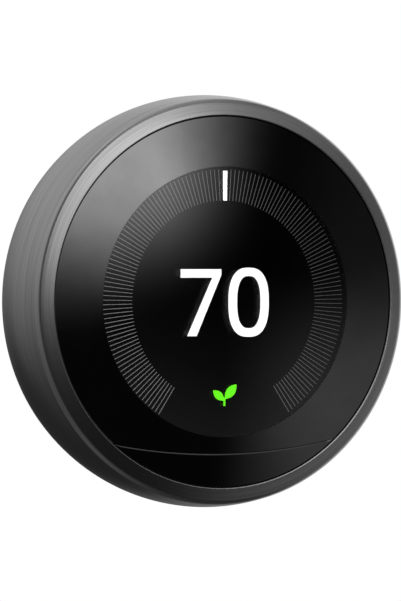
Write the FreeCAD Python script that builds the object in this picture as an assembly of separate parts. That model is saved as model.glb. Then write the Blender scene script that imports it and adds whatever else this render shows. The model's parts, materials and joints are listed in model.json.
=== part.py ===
"""Round wall thermostat with a turning outer ring, a press-in face and a pull-off head on a wiring base.

Millimetres, +Z up. The wall is the plane y = 0 and the face looks along -Y. Heights named h are distances
from the wall, so a point at height h has y = -h. The origin is the centre of the wire opening, on the wall.
"""

import FreeCAD, Part
import math
import os

V = FreeCAD.Vector

# ---- driving dimensions -------------------------------------------------------------------------------
TOTAL_DEPTH = 30.8  # wall to the top of the lens
LENS_R = 37.4  # outer radius of the face lens
DISPLAY_R = 27.3  # radius of the round display seen through the lens
PRESS_TRAVEL = 0.8  # how far the face clicks in
TAB_TRAVEL = 1.0  # how far a wire-release tab goes in
RUN_GAP = 0.08  # radial clearance of the turning and sliding fits
SIDE_GAP = 0.1  # axial clearance of the turning ring
LOOSE = 0.15  # clearance of parts that only drop into place
FLEX_THICK = 0.14  # thickness of the ribbons

# face lens
LENS_THICK = 1.4
LENS_SLOPE = math.radians(3.5)  # slope of the lens outside the display
LENS_CHAMFER = 0.2
DOME_R = DISPLAY_R / math.sin(LENS_SLOPE)
LEDGE_R = 36.2  # the lens is bonded outside this radius
WINDOW_ARC_R = 126.2  # the sensor window's upper edge is part of this large circle
WINDOW_ARC_BOTTOM = -30.58  # lowest point of that edge
WINDOW_GAP = 0.08
WINDOW_BEVEL = 0.12
MASK_THICK = 0.15
GLUE_THICK = 0.15

# outer ring, all as (radius, h); its widest radius is the middle point of the barrel
RING_LIP = [(37.6, 29.25), (37.68, 29.5), (37.9, 29.6)]
RING_SLOPE_END = (40.1, 28.8)
RING_EDGE = [(40.8, 28.3), (41.15, 27.3)]
RING_BARREL = [(42.0, 18.4), (40.45, 9.3)]
RING_BACK = [(40.2, 8.85), (39.7, 8.7)]
RING_BORE = 39.0
CARRIER_BORE = 37.4
CARRIER_LOW, CARRIER_HIGH = 9.0, 26.4
SNAP_LOW, SNAP_HIGH = 16.7, 18.1  # the snap ring behind the carrier's rib
GLIDE_LOW = 19.9  # the glide ring in front of it starts here
ENCODER_LOW, ENCODER_HIGH, ENCODER_TEETH = 13.4, 16.4, 60

# heights of the base
PLATE_TOP = 2.0
BOARD_LOW, BOARD_HIGH = 2.6, 3.8
COVER_TOP = 7.8
COVER_SKIN = 1.3
RIM_TOP = COVER_TOP - COVER_SKIN
RIM_WALL = 1.5
BASE_R = 34.4
WIRE_R = 9.0
COLLAR_R, COLLAR_TOP = 10.0, 4.1
SCREW_Z = 27.0  # the two wall screws are this far above and below the centre
SCREW_HOLE_R = 2.1
SCREW_WELL_R = 4.2
SCREW_HEAD, SCREW_SLOT = 1.0, 0.5  # height of every small screw's head, and the width of its slot
BASE_SCREWS = [(x, z) for x in (-22.8, 22.8) for z in (-20.2, 20.2)]
BASE_SCREW_R, BASE_SCREW_HEAD_R, BASE_SCREW_SEAT, BASE_SCREW_TIP = 0.95, 2.0, 1.1, 6.2
BASE_BOSS_R = 2.2

VIAL_R, VIAL_HALF, VIAL_WALL = 1.9, 6.6, 0.5
VIAL_Z, VIAL_H = 20.0, BOARD_HIGH + VIAL_R
BUBBLE_R = 0.9

# terminals
PITCH = 6.4
TERMINALS = 5
BANK_IN, BANK_OUT, BANK_HALF = 12.5, 27.6, 16.5
BANK_TOP = 7.4
WIRE_HOLE_R = 1.0
WIRE_HOLE_H = 5.3
WIRE_FUNNEL = 0.5  # depth of the hole's wider mouth
LEAF_X = 19.5  # the contact's upright leaf stands at the end of the hole
LEAF_TOP = WIRE_HOLE_H + 1.0
CONTACT_IN, CONTACT_OUT, CONTACT_THICK, CONTACT_HALF = 13.5, 25.5, 0.3, 1.5
CONTACT_PIN_X, CONTACT_PIN_R = 24.5, 0.5
TAB_IN, TAB_OUT = 20.9, 26.3
TAB_FLANGE = 0.4
TAB_WIDE = 4.9
TAB_LOW, TAB_STEP, TAB_TOP = 5.4, 6.3, 8.2
POCKET_LOW = TAB_LOW - TAB_TRAVEL - 0.1
THUMB_GROOVES = (22.3, 23.6, 24.9)
THUMB_GROOVE_WIDE, THUMB_GROOVE_DEEP = 0.5, 0.25

# head
HEAD_BACK = 8.6
HEAD_SKIN = 1.3
HEAD_FLOOR = HEAD_BACK + HEAD_SKIN
REAR_R = 36.6
REAR_WALL_R, REAR_WALL_IN, REAR_WALL_TOP = 34.2, 33.0, 17.5
STANDOFF_R = 2.6  # posts under the main board
FOOT_R, FOOT_X = 2.2, 31.2  # feet that meet the base
VENT_OUT, VENT_IN, VENT_HALF, VENT_ANGLES = 31.5, 24.5, 1.1, (52, 60, 68, 112, 120, 128)
MAIN_LOW, MAIN_HIGH = 12.4, 13.6
MAIN_R = 32.4
WALL_R, WALL_IN = 36.0, 34.9  # the moving chassis' side wall
CHASSIS_LOW = 13.2
WEB_LOW, WEB_HIGH = 21.0, 22.4
FLANGE_R, FLANGE_LOW = 37.2, 26.6
PIN_R, PIN_CIRCLE, PIN_ANGLES = 1.6, 30.6, (90, 210, 330)
PIN_TOP = WEB_HIGH + 0.04  # the pins end just past the web, so that the screws on them don't grip it
GUIDE_SCREW_R, GUIDE_SCREW_HEAD_R = 0.95, 2.1
BOARD_SCREW_R, BOARD_SCREW_HEAD_R = 0.8, 1.7
BOARD_SCREW_CIRCLE, BOARD_SCREW_ANGLES = 28.6, (30, 150, 270)
STUD_R, STUD_SHANK_R, STUD_TIP, GROOVE_R = 1.6, 1.1, 4.4, 1.2
STUD_TAPER = 0.5
GROOVE_LOW, GROOVE_HIGH = 5.2, 5.9
LATCH_LOW, LATCH_HIGH = 5.3, 5.8
STAKE_R, STAKE_OUT = 0.5, 2.3
PLUG_Z, PLUG_HALF_X, PLUG_HALF_Z = -20.0, 7.0, 2.0
PLUG_TONGUE_X, PLUG_TONGUE_Z = 6.3, 0.9
PORT_Z, PORT_HALF_X, PORT_HALF_Z = 14.0, 4.0, 1.5
STUDS = [(x, z) for x in (-15.0, 15.0) for z in (-21.5, 21.5)]
DISPLAY_FLOOR, DISPLAY_LOW, DISPLAY_TOP = 23.2, 26.8, 28.3
FRAME_R, FRAME_IN = 28.2, 27.5
FLEX_X = (-10.4, -3.5)  # the display ribbon's two edges
FLEX_TOP = 25.0
SOCKET_X = (18.4, 22.0)
SENSOR_X = 34.8  # back of the ring sensor, and the face of its ribbon
BATTERY_X = 16.0  # half the width of the cell
LEAD_H, LEAD_END_Z = 15.0, 4.0
SWITCH_TOP = 16.8
PLUNGER_R = 1.62
PLUNGER_TOP = SWITCH_TOP + PRESS_TRAVEL + 0.6
SENSOR_FLOOR, SENSOR_DECK = 23.4, 24.4  # underside and top of the sensor board
SENSOR_CIRCLE, SENSOR_ANGLES, SENSOR_POST_ANGLES = 31.7, (254, 286), (248, 270, 292)


# ---- helpers ------------------------------------------------------------------------------------------
def at(x, h, z=0.0):
    return V(x, -h, z)


def outline(start, steps):
    """A closed face in the half plane of a turned piece. A step is a point, or (via, end) for an arc."""
    edges, here = [], start
    for step in list(steps) + [start]:
        if isinstance(step[0], tuple):
            via, end = step
            edges.append(Part.Arc(at(*here), at(*via), at(*end)).toShape())
        else:
            end = step
            if end != here:
                edges.append(Part.LineSegment(at(*here), at(*end)).toShape())
        here = end
    return Part.Face(Part.Wire(edges))


def turned(start, steps):
    """A solid of revolution about the thermostat's axis."""
    return outline(start, steps).revolve(V(0, 0, 0), V(0, 1, 0), 360)


def rod(r, low, high, x=0.0, z=0.0):
    return Part.makeCylinder(r, high - low, at(x, low, z), V(0, -1, 0))


def tube(r_out, r_in, low, high, x=0.0, z=0.0):
    return rod(r_out, low, high, x, z).cut(rod(r_in, low - 1, high + 1, x, z))


def block(x0, x1, z0, z1, low, high):
    return Part.makeBox(x1 - x0, high - low, z1 - z0, V(x0, -high, z0))


def rounded(x0, x1, z0, z1, low, high, r):
    """A block whose four edges along the thermostat's axis are round."""
    q = r * (1 - math.sqrt(0.5))
    corners = [
        ((x1 - r, z0), (x1 - q, z0 + q), (x1, z0 + r)),
        ((x1, z1 - r), (x1 - q, z1 - q), (x1 - r, z1)),
        ((x0 + r, z1), (x0 + q, z1 - q), (x0, z1 - r)),
        ((x0, z0 + r), (x0 + q, z0 + q), (x0 + r, z0)),
    ]
    edges = []
    for i, (a, b, c) in enumerate(corners):
        after = corners[(i + 1) % 4][0]
        edges.append(Part.Arc(*[V(p[0], -low, p[1]) for p in (a, b, c)]).toShape())
        if math.dist(c, after) > 1e-6:
            edges.append(Part.LineSegment(V(c[0], -low, c[1]), V(after[0], -low, after[1])).toShape())
    return Part.Face(Part.Wire(edges)).extrude(V(0, low - high, 0))


def on_circle(radius, degrees):
    return radius * math.cos(math.radians(degrees)), radius * math.sin(math.radians(degrees))


def sector(r_out, r_in, low, high, middle, half):
    """Part of a tube, half degrees each side of the middle angle, counted from +X towards +Z."""
    far = r_out * 2
    corners = [V(0, -low + 1, 0)]
    corners += [V(x, -low + 1, z) for x, z in (on_circle(far, middle + s * half) for s in (-1, 0, 1))]
    wedge = Part.Face(Part.makePolygon(corners + corners[:1])).extrude(V(0, low - high - 2, 0))
    return tube(r_out, r_in, low, high).common(wedge)


def screw(x, z, tip, seat, thread_r, head_r):
    """A slotted screw along the axis: its shank runs from tip to seat, and its head lies beyond the seat."""
    out = math.copysign(SCREW_HEAD, seat - tip)
    crown = seat + out
    head = rod(head_r, *sorted((seat, crown)), x, z)
    half = SCREW_SLOT / 2
    slot = block(x - head_r, x + head_r, z - half, z + half, *sorted((crown - out / 2, crown + out)))
    return joined(without(head, slot), rod(thread_r, *sorted((tip, seat)), x, z))


def joined(first, *others):
    return first.fuse(list(others)).removeSplitter()


def without(first, *others):
    return first.cut(list(others))


def group(shapes):
    return Part.makeCompound(shapes)


def export(node, shape):
    solids = shape.Solids
    assert solids and shape.isValid() and all(s.Volume > 0 for s in solids), node
    shape.exportStep(os.path.join("parts", node + ".step"))
    print(f"{node}: {len(solids)} solid(s), {sum(s.Volume for s in solids):.1f} mm3")


# ---- base: stays on the wall --------------------------------------------------------------------------
def stake_z(z):
    """Each latch fork is held by a stake on the side away from the middle."""
    return z + math.copysign(STAKE_OUT, z)


def base_plate():
    rim_bevel, post_r, post_z = 0.4, 1.8, 20.0
    rim = [(BASE_R - rim_bevel, 0), (BASE_R, rim_bevel), (BASE_R, PLATE_TOP), (0, PLATE_TOP)]
    plate = turned((0, 0), rim)
    collar = rod(COLLAR_R, PLATE_TOP, COLLAR_TOP)
    posts = [rod(post_r, PLATE_TOP, BOARD_LOW, 0, s * post_z) for s in (-1, 1)]
    holes = [rod(WIRE_R, -1, COLLAR_TOP + 1)]
    holes += [rod(SCREW_HOLE_R, -1, PLATE_TOP + 1, 0, s * SCREW_Z) for s in (-1, 1)]
    for x, z in BASE_SCREWS:
        holes.append(rod(BASE_SCREW_R + 0.2, -1, PLATE_TOP + 1, x, z))
        holes.append(rod(BASE_SCREW_HEAD_R + 0.2, -1, BASE_SCREW_SEAT, x, z))
    return without(joined(plate, collar, *posts), *holes)


def base_rim():
    """The side wall between the plate and the cover, with the four screw bosses webbed to its inside."""
    wall_in = BASE_R - RIM_WALL
    solids = []
    for x, z in BASE_SCREWS:
        solids.append(rod(BASE_BOSS_R, PLATE_TOP, RIM_TOP, x, z))
        angle = math.degrees(math.atan2(z, x))
        solids.append(sector(wall_in + 0.5, math.hypot(x, z), PLATE_TOP, RIM_TOP, angle, 2.6))
    holes = [rod(BASE_SCREW_R + 0.05, PLATE_TOP - 1, RIM_TOP + 1, x, z) for x, z in BASE_SCREWS]
    return without(joined(tube(BASE_R, wall_in, PLATE_TOP, RIM_TOP), *solids), *holes)


def base_cover():
    """A flat lid with a round edge, bonded to the rim. The latch forks sit on the seats under it."""
    edge_r = 0.9
    edge_via = edge_r * (1 - math.sqrt(0.5))
    shell = turned(
        (BASE_R, RIM_TOP),
        [
            (BASE_R, COVER_TOP - edge_r),
            ((BASE_R - edge_via, COVER_TOP - edge_via), (BASE_R - edge_r, COVER_TOP)),
            (0, COVER_TOP),
            (0, RIM_TOP),
        ],
    )
    seat_top, seat_r = COVER_TOP - 0.5, 3.4
    seats = [rod(seat_r, LATCH_HIGH, seat_top, x, z) for x, z in STUDS]
    seats += [rod(STAKE_R, LATCH_LOW - 0.3, LATCH_HIGH, x, stake_z(z)) for x, z in STUDS]
    top, low = COVER_TOP + 1, RIM_TOP - 1
    gap = 2 * LOOSE
    windows = [rounded(-10.4, 10.4, -BANK_HALF, BANK_HALF, low, top, 3.0)]
    for s in (-1, 1):
        x0, x1 = sorted((s * (BANK_IN - gap), s * (BANK_OUT + gap)))
        windows.append(rounded(x0, x1, -BANK_HALF - gap, BANK_HALF + gap, low, top, 1.0))
        windows.append(rod(SCREW_WELL_R, low, top, 0, s * SCREW_Z))
    vial_x, vial_z = VIAL_HALF + 0.4, VIAL_R + gap
    windows.append(rounded(-vial_x, vial_x, VIAL_Z - vial_z, VIAL_Z + vial_z, low, top, 1.5))
    socket_x, socket_z = PLUG_HALF_X + 0.7, PLUG_HALF_Z + 0.7
    windows.append(rounded(-socket_x, socket_x, PLUG_Z - socket_z, PLUG_Z + socket_z, low, top, 0.6))
    windows += [rod(STUD_R + RUN_GAP, LATCH_LOW - 1, top, x, z) for x, z in STUDS]
    return without(joined(shell, *seats), *windows)


def base_board():
    low, high = BOARD_LOW - 1, BOARD_HIGH + 1
    board = rod(31.8, BOARD_LOW, BOARD_HIGH)
    holes = [rod(COLLAR_R + 2 * LOOSE, low, high)]
    notch = SCREW_WELL_R + 0.6
    holes += [rod(notch, low, high, 0, s * SCREW_Z) for s in (-1, 1)]
    holes += [block(-notch, notch, *sorted((s * SCREW_Z, s * BASE_R)), low, high) for s in (-1, 1)]
    holes += [rod(BASE_BOSS_R + 0.4, low, high, x, z) for x, z in BASE_SCREWS]
    holes += [rod(CONTACT_PIN_R + 0.1, low, high, x, z) for x, z in contact_pins()]
    return without(board, *holes)


def base_chips():
    """Four upright capacitors outside the terminals, and four small chips above and below them."""
    low = BOARD_HIGH
    parts = [rod(1.3, low, low + 2.4, x, z) for x in (-29.9, 29.9) for z in (-6.5, 6.5)]
    for x in (-11.6, 8.6):
        parts.append(block(x, x + 3.0, 22.6, 25.2, low, low + 0.9))
        parts.append(block(x, x + 3.0, -27.2, -24.4, low, low + 0.8))
    return group(parts)


def terminal_z(i):
    return (i - (TERMINALS - 1) / 2) * PITCH


def contact_pins():
    return [(s * CONTACT_PIN_X, terminal_z(i)) for s in (-1, 1) for i in range(TERMINALS)]


def mirrored(shape, side):
    return shape if side > 0 else shape.mirror(V(0, 0, 0), V(1, 0, 0))


def terminal_block(side):
    """One bank of wire terminals: a wire hole on the inner face and a tab pocket for each."""
    body = rounded(BANK_IN, BANK_OUT, -BANK_HALF, BANK_HALF, BOARD_HIGH, BANK_TOP, 0.8)
    cuts = []
    for i in range(TERMINALS):
        z = terminal_z(i)
        mouth = at(BANK_IN, WIRE_HOLE_H, z)
        cuts.append(Part.makeCylinder(WIRE_HOLE_R, LEAF_X - BANK_IN, mouth, V(1, 0, 0)))
        cuts.append(Part.makeCone(WIRE_HOLE_R + 0.4, WIRE_HOLE_R, WIRE_FUNNEL, mouth, V(1, 0, 0)))
        leaf = WIRE_HOLE_R + 0.1
        cuts.append(block(LEAF_X, LEAF_X + 0.35, z - leaf, z + leaf, BOARD_HIGH, LEAF_TOP + 0.2))
        wide = TAB_WIDE / 2 + LOOSE
        cuts.append(block(TAB_IN - LOOSE, TAB_OUT + LOOSE, z - wide, z + wide, POCKET_LOW, BANK_TOP + 1))
        flange = TAB_FLANGE + LOOSE
        foot = (POCKET_LOW, TAB_STEP + 0.1)
        cuts.append(block(TAB_IN - flange, TAB_OUT + flange, z - wide, z + wide, *foot))
        strip = CONTACT_HALF + 0.1
        channel = (BOARD_HIGH - 1, BOARD_HIGH + CONTACT_THICK + 0.05)
        cuts.append(block(CONTACT_IN - 0.1, CONTACT_OUT + 0.1, z - strip, z + strip, *channel))
    return mirrored(without(body, *cuts), side)


def terminal_contacts():
    """A brass strip under each wire hole, with an upright leaf at the hole's end and a soldered pin."""
    parts = []
    for side in (-1, 1):
        for i in range(TERMINALS):
            z = terminal_z(i)
            z0, z1 = z - CONTACT_HALF, z + CONTACT_HALF
            strip = block(CONTACT_IN, CONTACT_OUT, z0, z1, BOARD_HIGH, BOARD_HIGH + CONTACT_THICK)
            leaf_z = (z - WIRE_HOLE_R, z + WIRE_HOLE_R)
            leaf = block(LEAF_X, LEAF_X + CONTACT_THICK, *leaf_z, BOARD_HIGH, LEAF_TOP)
            pin = rod(CONTACT_PIN_R, BOARD_LOW - 0.3, BOARD_HIGH, CONTACT_PIN_X, z)
            parts.append(mirrored(joined(strip, leaf, pin), side))
    return group(parts)


def tab_springs():
    """A bent leaf under each tab, with its free end just below it."""
    low, high, thick, half = POCKET_LOW + 0.02, TAB_LOW - 0.05, 0.2, 1.4
    start, bend, end = TAB_IN + 0.3, TAB_OUT - 2.1, TAB_OUT - 0.4
    points = [(start, low), (bend, low), (end, high - thick), (end, high), (end - 0.4, high)]
    points += [(bend - thick, low + thick), (start, low + thick)]
    parts = []
    for side in (-1, 1):
        for i in range(TERMINALS):
            corners = [at(x, h, terminal_z(i) - half) for x, h in points]
            leaf = Part.Face(Part.makePolygon(corners + corners[:1])).extrude(V(0, 0, 2 * half))
            parts.append(mirrored(leaf, side))
    return group(parts)


def terminal_tab(side, i):
    """A wire-release tab: a ribbed thumb face above a flange that keeps it in its pocket."""
    z, half = terminal_z(i), TAB_WIDE / 2
    stem = rounded(TAB_IN, TAB_OUT, z - half, z + half, TAB_STEP, TAB_TOP, 0.5)
    foot = block(TAB_IN - TAB_FLANGE, TAB_OUT + TAB_FLANGE, z - half, z + half, TAB_LOW, TAB_STEP)
    floor, cut = TAB_TOP - THUMB_GROOVE_DEEP, THUMB_GROOVE_WIDE / 2
    reach = (z - half - 1, z + half + 1)
    grooves = [block(x - cut, x + cut, *reach, floor, TAB_TOP + 1) for x in THUMB_GROOVES]
    return mirrored(without(joined(stem, foot), *grooves), side)


def base_socket():
    """The socket that the head's plug goes into: a rounded block with one long slot."""
    wall, top = 0.5, COVER_TOP + 0.4
    half_x, half_z = PLUG_HALF_X + wall, PLUG_HALF_Z + wall
    body = rounded(-half_x, half_x, PLUG_Z - half_z, PLUG_Z + half_z, BOARD_HIGH, top, wall)
    slot_x, slot_z = PLUG_TONGUE_X + 2 * LOOSE, PLUG_TONGUE_Z + 2 * LOOSE
    slot = block(-slot_x, slot_x, PLUG_Z - slot_z, PLUG_Z + slot_z, BOARD_HIGH + 0.8, top + 1)
    return without(body, slot)


def level_tube(r, half):
    return Part.makeCylinder(r, 2 * half, at(-half, VIAL_H, VIAL_Z), V(1, 0, 0))


def level_vial():
    """A closed clear tube. Its ends are a little thicker than its wall."""
    return without(level_tube(VIAL_R, VIAL_HALF), level_tube(VIAL_R - VIAL_WALL, VIAL_HALF - 0.7))


def level_fluid():
    """The fluid, which all but fills the tube, round one bubble that rests at the tube's front."""
    film = 0.02
    fluid = level_tube(VIAL_R - VIAL_WALL - film, VIAL_HALF - 0.7 - film)
    return without(fluid, Part.makeSphere(BUBBLE_R, at(0, VIAL_H + BUBBLE_R / 2, VIAL_Z)))


def base_screws():
    """Four screws from behind, through the plate and into the rim's bosses."""
    size = (BASE_SCREW_R, BASE_SCREW_HEAD_R)
    return group([screw(x, z, BASE_SCREW_TIP, BASE_SCREW_SEAT, *size) for x, z in BASE_SCREWS])


def latch_springs():
    """Four flat steel forks that snap into the grooves of the head's studs."""
    slot, half = GROOVE_R + 0.05, 3.0
    low, high = LATCH_LOW - 1, LATCH_HIGH + 1
    parts = []
    for x, z in STUDS:
        plate = rounded(x - half, x + half, z - half, z + half, LATCH_LOW, LATCH_HIGH, 0.8)
        inward = sorted((z, z - math.copysign(half + 1, z)))
        mouth = block(x - slot, x + slot, *inward, low, high)
        stake = rod(STAKE_R, low, high, x, stake_z(z))
        parts.append(without(plate, rod(slot, low, high, x, z), mouth, stake))
    return group(parts)


# ---- head, rear half: clips on the base and holds the electronics ---------------------------------------
def guide_pins():
    return [on_circle(PIN_CIRCLE, a) for a in PIN_ANGLES]


def board_screw_places():
    return [on_circle(BOARD_SCREW_CIRCLE, a) for a in BOARD_SCREW_ANGLES]


def rear_cover():
    """A disc with a low wall round the board, guide pins for the front half and feet that meet the base."""
    rim = REAR_R - 0.5
    edge = [(rim, HEAD_BACK), (REAR_R, HEAD_BACK + 0.5), (REAR_R, HEAD_FLOOR), (0, HEAD_FLOOR)]
    adds = [tube(REAR_WALL_R, REAR_WALL_IN, HEAD_FLOOR, REAR_WALL_TOP)]
    adds += [rod(PIN_R, HEAD_FLOOR, PIN_TOP, x, z) for x, z in guide_pins()]
    adds += [rod(STANDOFF_R, HEAD_FLOOR, MAIN_LOW, x, z) for x, z in board_screw_places()]
    adds += [rod(FOOT_R, COVER_TOP + 0.05, HEAD_BACK, x, 0) for x in (-FOOT_X, FOOT_X)]
    low, high = HEAD_BACK - 1, HEAD_FLOOR + 1
    cuts = [rod(STUD_SHANK_R, low, high, x, z) for x, z in STUDS]
    cuts += [rod(GUIDE_SCREW_R + 0.05, WEB_LOW - 4, PIN_TOP + 1, x, z) for x, z in guide_pins()]
    cuts += [rod(BOARD_SCREW_R + 0.05, HEAD_FLOOR, MAIN_LOW + 1, x, z) for x, z in board_screw_places()]
    plug_x, plug_z = PLUG_HALF_X + 0.4, PLUG_HALF_Z + 0.4
    cuts.append(rounded(-plug_x, plug_x, PLUG_Z - plug_z, PLUG_Z + plug_z, low, high, 0.6))
    port_x, port_z = PORT_HALF_X + 0.3, PORT_HALF_Z + 0.3
    cuts.append(rounded(-port_x, port_x, PORT_Z - port_z, PORT_Z + port_z, low, high, 1.2))
    sensor_gap = block(REAR_WALL_IN - 2, REAR_WALL_R + 1, -3.2, 3.2, 12.0, REAR_WALL_TOP + 1)
    vents = [sector(VENT_OUT, VENT_IN, low, high, a, VENT_HALF) for a in VENT_ANGLES]
    return without(joined(turned((0, HEAD_BACK), edge), *adds), *cuts, sensor_gap, *vents)


def latch_studs():
    """Four turned studs, riveted into the head's back, with a groove near the tip for the latch forks."""
    parts = []
    for x, z in STUDS:
        shoulder = STUD_TIP + STUD_TAPER
        body = rod(STUD_R, shoulder, HEAD_BACK, x, z)
        tip = Part.makeCone(STUD_R, STUD_R - STUD_TAPER, STUD_TAPER, at(x, shoulder, z), V(0, 1, 0))
        shank = rod(STUD_SHANK_R, HEAD_BACK, HEAD_FLOOR, x, z)
        rivet = rod(STUD_R, HEAD_FLOOR, HEAD_FLOOR + 0.5, x, z)
        groove = tube(STUD_R + 1, GROOVE_R, GROOVE_LOW, GROOVE_HIGH, x, z)
        parts.append(joined(body, tip, shank, rivet).cut(groove))
    return group(parts)


def main_board():
    low, high = MAIN_LOW - 1, MAIN_HIGH + 1
    holes = [rod(PIN_R + 0.3, low, high, x, z) for x, z in guide_pins()]
    holes += [rod(BOARD_SCREW_R + 0.2, low, high, x, z) for x, z in board_screw_places()]
    sensor_notch = block(30.5, MAIN_R + 1, -3.4, 3.4, low, high)
    return without(rod(MAIN_R, MAIN_LOW, MAIN_HIGH), *holes, sensor_notch)


def main_chips():
    """The processor, memory, radio and power parts on the main board, two capacitors and a round sounder."""
    low, top, z = MAIN_HIGH, MAIN_HIGH + 2.4, -20.5
    sounder = without(rod(4.6, low, top, 0, z), rod(0.8, top - 0.8, top + 1, 0, z))
    return group(
        [
            sounder,
            block(-15.0, -4.0, -15.0, -4.0, low, low + 1.2),
            block(-15.0, -6.0, -24.0, -17.0, low, low + 1.0),
            block(8.0, 14.0, -24.5, -19.0, low, low + 1.0),
            block(-25.5, -20.5, 2.0, 7.0, low, low + 1.1),
            block(22.2, 24.8, 9.2, 12.2, low, low + 1.3),
            rod(2.0, low, low + 3.0, -27.0, -3.0),
            rod(2.0, low, low + 3.0, 27.0, 7.5),
            block(15.5, 18.0, -26.5, -24.5, low, low + 0.9),
        ]
    )


def shield_can():
    """A tinplate lid over the radio, open towards the board."""
    x0, x1, z0, z1, top, sheet = 5.5, 20.0, -17.0, -5.0, MAIN_HIGH + 2.2, 0.3
    outer = rounded(x0, x1, z0, z1, MAIN_HIGH, top, 0.5)
    inside = block(x0 + sheet, x1 - sheet, z0 + sheet, z1 - sheet, MAIN_HIGH - 1, top - sheet)
    return without(outer, inside)


def battery():
    """A flat foil cell with a folded top edge."""
    low, z_top = MAIN_HIGH + 0.1, 22.0
    cell = rounded(-BATTERY_X, BATTERY_X, 5.0, z_top, low, low + 5.0, 1.2)
    lip = block(-BATTERY_X + 1, BATTERY_X - 1, z_top, z_top + 1.4, low + 1.7, low + 2.3)
    return joined(cell, lip)


def lead(x, z):
    """One wire: out of the cell's side at z, then round a bend and down at x to the board's connector."""
    bend, wire_r = 1.6, 0.5
    q = bend * math.sqrt(0.5)
    start, turn_in = at(BATTERY_X, LEAD_H, z), at(x - bend, LEAD_H, z)
    via, turn_out = at(x - bend + q, LEAD_H, z - bend + q), at(x, LEAD_H, z - bend)
    path = Part.Wire(
        [
            Part.LineSegment(start, turn_in).toShape(),
            Part.Arc(turn_in, via, turn_out).toShape(),
            Part.LineSegment(turn_out, at(x, LEAD_H, LEAD_END_Z)).toShape(),
        ]
    )
    section = Part.Wire(Part.makeCircle(wire_r, start, V(1, 0, 0)))
    return path.makePipeShell([section], True, True)


def battery_lead():
    return group([lead(19.6, 11.2), lead(20.8, 12.4)])


def board_connectors():
    """The battery's connector, and the one that the display's ribbon plugs into."""
    low = MAIN_HIGH
    power = block(18.4, 22.0, 0.6, LEAD_END_Z, low, low + 2.4)
    x0, x1 = FLEX_X
    body = block(x0 - 0.9, x1 + 0.2, -2.9, -0.3, low, low + 1.6)
    slot = block(x0 - 0.1, x1 + 0.1, -1.8, -1.3, low + 0.6, low + 2)
    return group([power, without(body, slot)])


def usb_port():
    """A small charging port, open at the back of the head, with a tongue inside."""
    low, x, z, wall = HEAD_BACK + 0.2, PORT_HALF_X, PORT_HALF_Z, 0.4
    shell = rounded(-x, x, PORT_Z - z, PORT_Z + z, low, MAIN_LOW, 0.9)
    x, z = x - wall, z - wall
    slot = rounded(-x, x, PORT_Z - z, PORT_Z + z, low - 1, MAIN_LOW - 1.0, 0.7)
    tongue = block(-2.4, 2.4, PORT_Z - 0.25, PORT_Z + 0.25, low + 0.7, MAIN_LOW - 0.9)
    return joined(without(shell, slot), tongue)


def head_plug():
    """The plug to the base: a body on the main board, and a tongue that reaches into the socket."""
    low, x, z = HEAD_BACK + 0.3, PLUG_HALF_X, PLUG_HALF_Z
    body = rounded(-x, x, PLUG_Z - z, PLUG_Z + z, low, MAIN_LOW, 0.5)
    x, z = PLUG_TONGUE_X, PLUG_TONGUE_Z
    return joined(body, block(-x, x, PLUG_Z - z, PLUG_Z + z, 5.2, low))


def click_switch():
    half, collar_low = 3.1, SWITCH_TOP - 0.9
    body = block(-half, half, -half, half, MAIN_HIGH, collar_low)
    collar = rod(2.6, collar_low, SWITCH_TOP)
    return without(joined(body, collar), rod(PLUNGER_R + RUN_GAP, MAIN_HIGH + 1.0, SWITCH_TOP + 1))


def switch_plunger():
    bevel = 0.3
    shoulder = PLUNGER_TOP - bevel
    tip = Part.makeCone(PLUNGER_R, PLUNGER_R - bevel, bevel, at(0, shoulder), V(0, -1, 0))
    return joined(rod(PLUNGER_R, SWITCH_TOP - 1.2, shoulder), tip)


def board_screws():
    size = (BOARD_SCREW_R, BOARD_SCREW_HEAD_R)
    return group([screw(x, z, HEAD_FLOOR + 0.5, MAIN_HIGH, *size) for x, z in board_screw_places()])


def guide_screws():
    """Shoulder screws on the guide pins: their heads keep the sprung chassis from coming off."""
    size = (GUIDE_SCREW_R, GUIDE_SCREW_HEAD_R)
    return group([screw(x, z, WEB_LOW - 3, PIN_TOP, *size) for x, z in guide_pins()])


def return_springs():
    """Three coil springs round the guide pins, between the board and the chassis."""
    wire, mean, turns, sides, gap = 0.2, 2.05, 5, 8, 0.03
    low, high = MAIN_HIGH + wire + gap, WEB_LOW - wire - gap
    coil = Part.makeHelix((high - low) / turns, high - low, mean)
    corners = []
    for i in range(sides + 1):
        across, along = on_circle(wire, 360.0 * i / sides)
        corners.append(V(mean + across, 0, along))
    body = Part.Wire(coil).makePipeShell([Part.makePolygon(corners)], True, True)
    upright = body.rotated(V(0, 0, 0), V(1, 0, 0), 90)
    return group([upright.translated(at(x, low, z)) for x, z in guide_pins()])


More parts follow.
